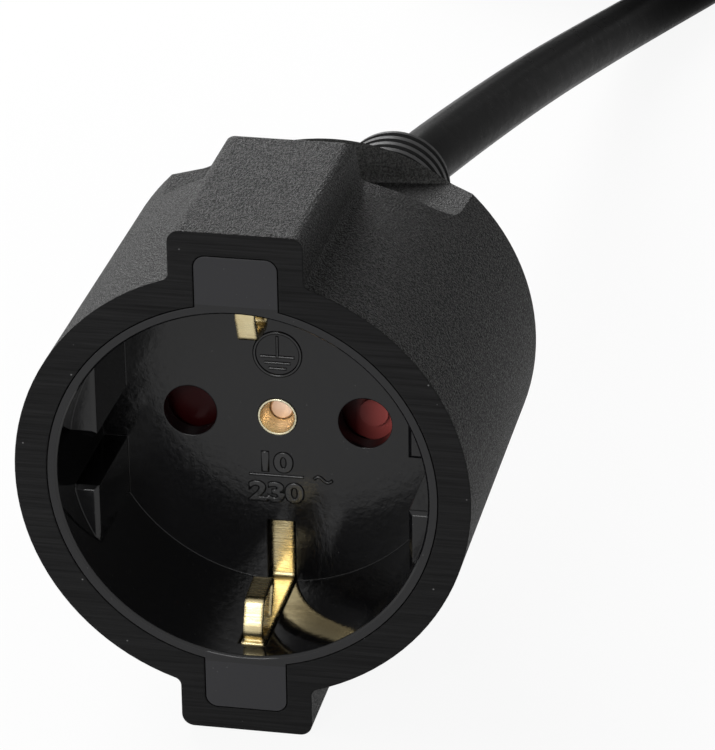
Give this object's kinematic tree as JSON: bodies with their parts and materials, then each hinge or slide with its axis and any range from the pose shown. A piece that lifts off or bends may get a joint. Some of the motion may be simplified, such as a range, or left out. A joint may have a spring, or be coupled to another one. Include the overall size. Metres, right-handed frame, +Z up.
{
  "type": "earthed extension lead",
  "caption": "Round black rubber coupler socket with side earth contacts, a ribbed strain relief, a flexible cord put away in an oval hank, and a round earthed plug.",
  "frame": {"origin": "on the floor under the middle of the coupler, half way along it, cord left out", "axes": "+Y along the bore of the socket from its mouth to the cord, +Z up, the pin holes side by side along X"},
  "size_m": [0.0684, 0.4323, 0.0566],
  "materials": {
    "body_rubber": "fine grained semi matte",
    "relief_rubber": "satin",
    "insert_plastic": "smooth, glossy inside",
    "carrier_plastic": "matte",
    "shutter_plastic": "satin",
    "spring_steel": "bright",
    "brass": "polished, lightly scratched",
    "copper": "dull",
    "contact_metal": "bright",
    "pin_metal": "nickel plated",
    "cord_sheath": "satin",
    "tie_plastic": "matte",
    "bridge_plastic": "satin",
    "wire_brown": "satin",
    "wire_blue": "satin",
    "wire_green": "satin"
  },
  "bodies": {
    "coupler": {"coupler_body": "body_rubber", "strain_relief": "relief_rubber", "socket_insert": "insert_plastic", "contact_carrier": "carrier_plastic", "shutter_spring": "spring_steel", "pivot_rivet": "brass", "rivet_core": "copper", "line_contact_left": "contact_metal", "line_contact_right": "contact_metal", "earth_bracket": "brass", "wire_line": "wire_brown", "wire_neutral": "wire_blue", "wire_earth": "wire_green", "cord": "cord_sheath", "cord_hank": "cord_sheath", "cord_tail": "cord_sheath", "hank_tie_left": "tie_plastic", "hank_tie_right": "tie_plastic", "plug_body": "body_rubber", "plug_relief": "relief_rubber", "plug_bridge": "bridge_plastic", "plug_pin_left": "pin_metal", "plug_pin_right": "pin_metal", "plug_earth_bracket": "brass", "plug_wire_line": "wire_brown", "plug_wire_neutral": "wire_blue", "plug_wire_earth": "wire_green"},
    "shutter": {"shutter": "shutter_plastic"}
  },
  "joints": [
    {"name": "shutter_turn", "type": "hinge", "parent": "coupler", "child": "shutter", "pos_m": [0, -0.0202, 0.0283], "axis": [0, -1, 0], "range_deg": [0, 40], "stiffness_Nm_per_rad": 0.0008, "springref_deg": -20.05}
  ]
}
